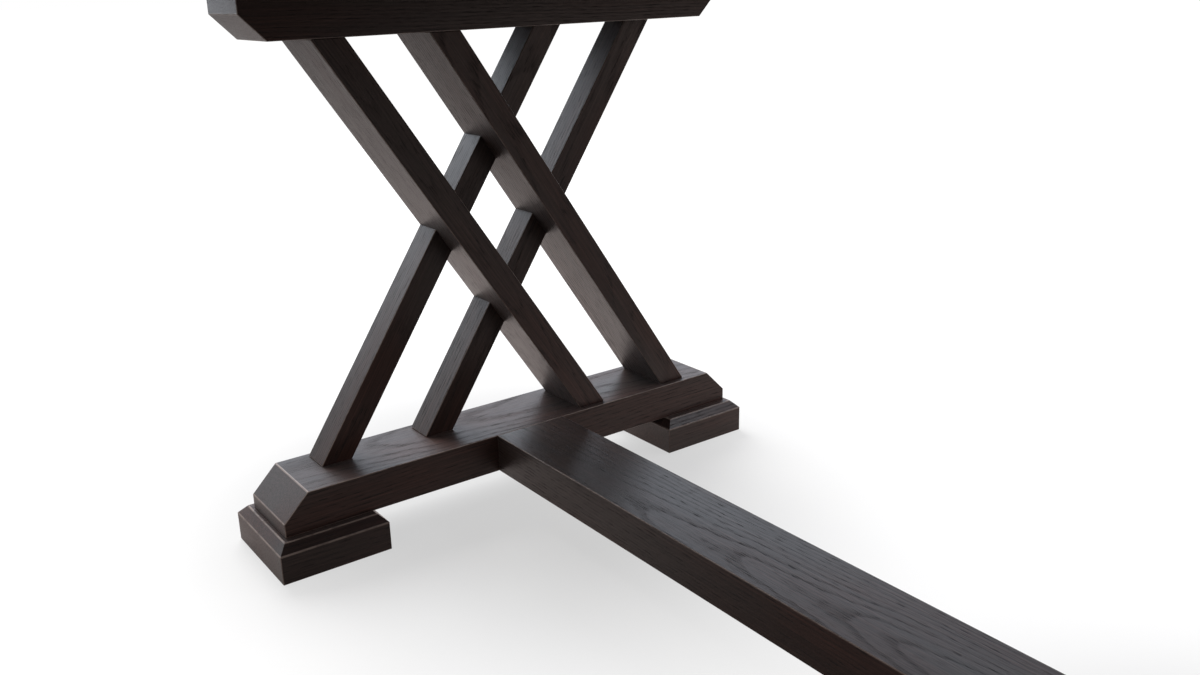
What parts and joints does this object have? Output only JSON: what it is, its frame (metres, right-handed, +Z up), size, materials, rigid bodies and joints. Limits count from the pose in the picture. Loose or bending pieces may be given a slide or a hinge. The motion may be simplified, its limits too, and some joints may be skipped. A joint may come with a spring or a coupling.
{
  "type": "trestle dining table",
  "caption": "Plank-top trestle dining table in dark stained wood, with crossed lattice braces, bevelled foot blocks on screw levellers and a low stretcher.",
  "frame": {"origin": "on the floor, under the middle of the table top", "axes": "+X along the table, +Y across it, +Z up; the trestle in the picture is the one at -X, seen from its stretcher side"},
  "size_m": [1.83, 0.915, 0.762],
  "materials": {
    "stained_oak": "dark espresso stain on open-grained oak, satin lacquer, edges slightly rubbed",
    "beech": "raw beech tenons and dowels, glued in",
    "zinc_steel": "bright zinc plate",
    "insert_brass": "plain turned brass",
    "nylon": "moulded black nylon, fine matt texture"
  },
  "bodies": {
    "root": {"left_back_foot": "stained_oak", "left_barrel_nuts": "zinc_steel", "left_bolt_covers": "stained_oak", "left_bottom_rail": "stained_oak", "left_brace_tenons": "beech", "left_cross_brace_1": "stained_oak", "left_cross_brace_2": "stained_oak", "left_foot_screws": "zinc_steel", "left_front_foot": "stained_oak", "left_leveller_inserts": "insert_brass", "left_main_brace_1": "stained_oak", "left_main_brace_2": "stained_oak", "left_stretcher_bolts": "zinc_steel", "left_stretcher_dowels": "beech", "left_stretcher_washers": "zinc_steel", "left_top_bolts": "zinc_steel", "left_top_inserts": "insert_brass", "left_top_rail": "stained_oak", "left_top_washers": "zinc_steel", "right_back_foot": "stained_oak", "right_barrel_nuts": "zinc_steel", "right_bolt_covers": "stained_oak", "right_bottom_rail": "stained_oak", "right_brace_tenons": "beech", "right_cross_brace_1": "stained_oak", "right_cross_brace_2": "stained_oak", "right_foot_screws": "zinc_steel", "right_front_foot": "stained_oak", "right_leveller_inserts": "insert_brass", "right_main_brace_1": "stained_oak", "right_main_brace_2": "stained_oak", "right_stretcher_bolts": "zinc_steel", "right_stretcher_dowels": "beech", "right_stretcher_washers": "zinc_steel", "right_top_bolts": "zinc_steel", "right_top_inserts": "insert_brass", "right_top_rail": "stained_oak", "right_top_washers": "zinc_steel", "stretcher": "stained_oak", "top_board_1": "stained_oak", "top_board_2": "stained_oak", "top_board_3": "stained_oak", "top_board_4": "stained_oak", "top_board_5": "stained_oak", "top_board_6": "stained_oak"},
    "left_front_pad": {"left_front_leveller_pad": "nylon"},
    "left_front_stud": {"left_front_leveller_stud": "zinc_steel"},
    "left_back_pad": {"left_back_leveller_pad": "nylon"},
    "left_back_stud": {"left_back_leveller_stud": "zinc_steel"},
    "right_front_pad": {"right_front_leveller_pad": "nylon"},
    "right_front_stud": {"right_front_leveller_stud": "zinc_steel"},
    "right_back_pad": {"right_back_leveller_pad": "nylon"},
    "right_back_stud": {"right_back_leveller_stud": "zinc_steel"}
  },
  "joints": [
    {"name": "left_front_leveller_travel", "type": "slide", "parent": "root", "child": "left_front_pad", "axis": [0, 0, -1], "range_m": [0, 0.012]},
    {"name": "left_front_leveller_turn", "type": "hinge", "parent": "left_front_pad", "child": "left_front_stud", "pos_m": [-0.635, -0.321, 0.01], "axis": [0, 0, -1], "range_deg": [0, 2880]},
    {"name": "left_back_leveller_travel", "type": "slide", "parent": "root", "child": "left_back_pad", "axis": [0, 0, -1], "range_m": [0, 0.012]},
    {"name": "left_back_leveller_turn", "type": "hinge", "parent": "left_back_pad", "child": "left_back_stud", "pos_m": [-0.635, 0.321, 0.01], "axis": [0, 0, -1], "range_deg": [0, 2880]},
    {"name": "right_front_leveller_travel", "type": "slide", "parent": "root", "child": "right_front_pad", "axis": [0, 0, -1], "range_m": [0, 0.012]},
    {"name": "right_front_leveller_turn", "type": "hinge", "parent": "right_front_pad", "child": "right_front_stud", "pos_m": [0.635, -0.321, 0.01], "axis": [0, 0, -1], "range_deg": [0, 2880]},
    {"name": "right_back_leveller_travel", "type": "slide", "parent": "root", "child": "right_back_pad", "axis": [0, 0, -1], "range_m": [0, 0.012]},
    {"name": "right_back_leveller_turn", "type": "hinge", "parent": "right_back_pad", "child": "right_back_stud", "pos_m": [0.635, 0.321, 0.01], "axis": [0, 0, -1], "range_deg": [0, 2880]}
  ],
  "couplings": [
    {"joint": "left_front_leveller_turn", "follows": "left_front_leveller_travel", "rad_per_m": 4188.8},
    {"joint": "left_back_leveller_turn", "follows": "left_back_leveller_travel", "rad_per_m": 4188.8},
    {"joint": "right_front_leveller_turn", "follows": "right_front_leveller_travel", "rad_per_m": 4188.8},
    {"joint": "right_back_leveller_turn", "follows": "right_back_leveller_travel", "rad_per_m": 4188.8}
  ]
}
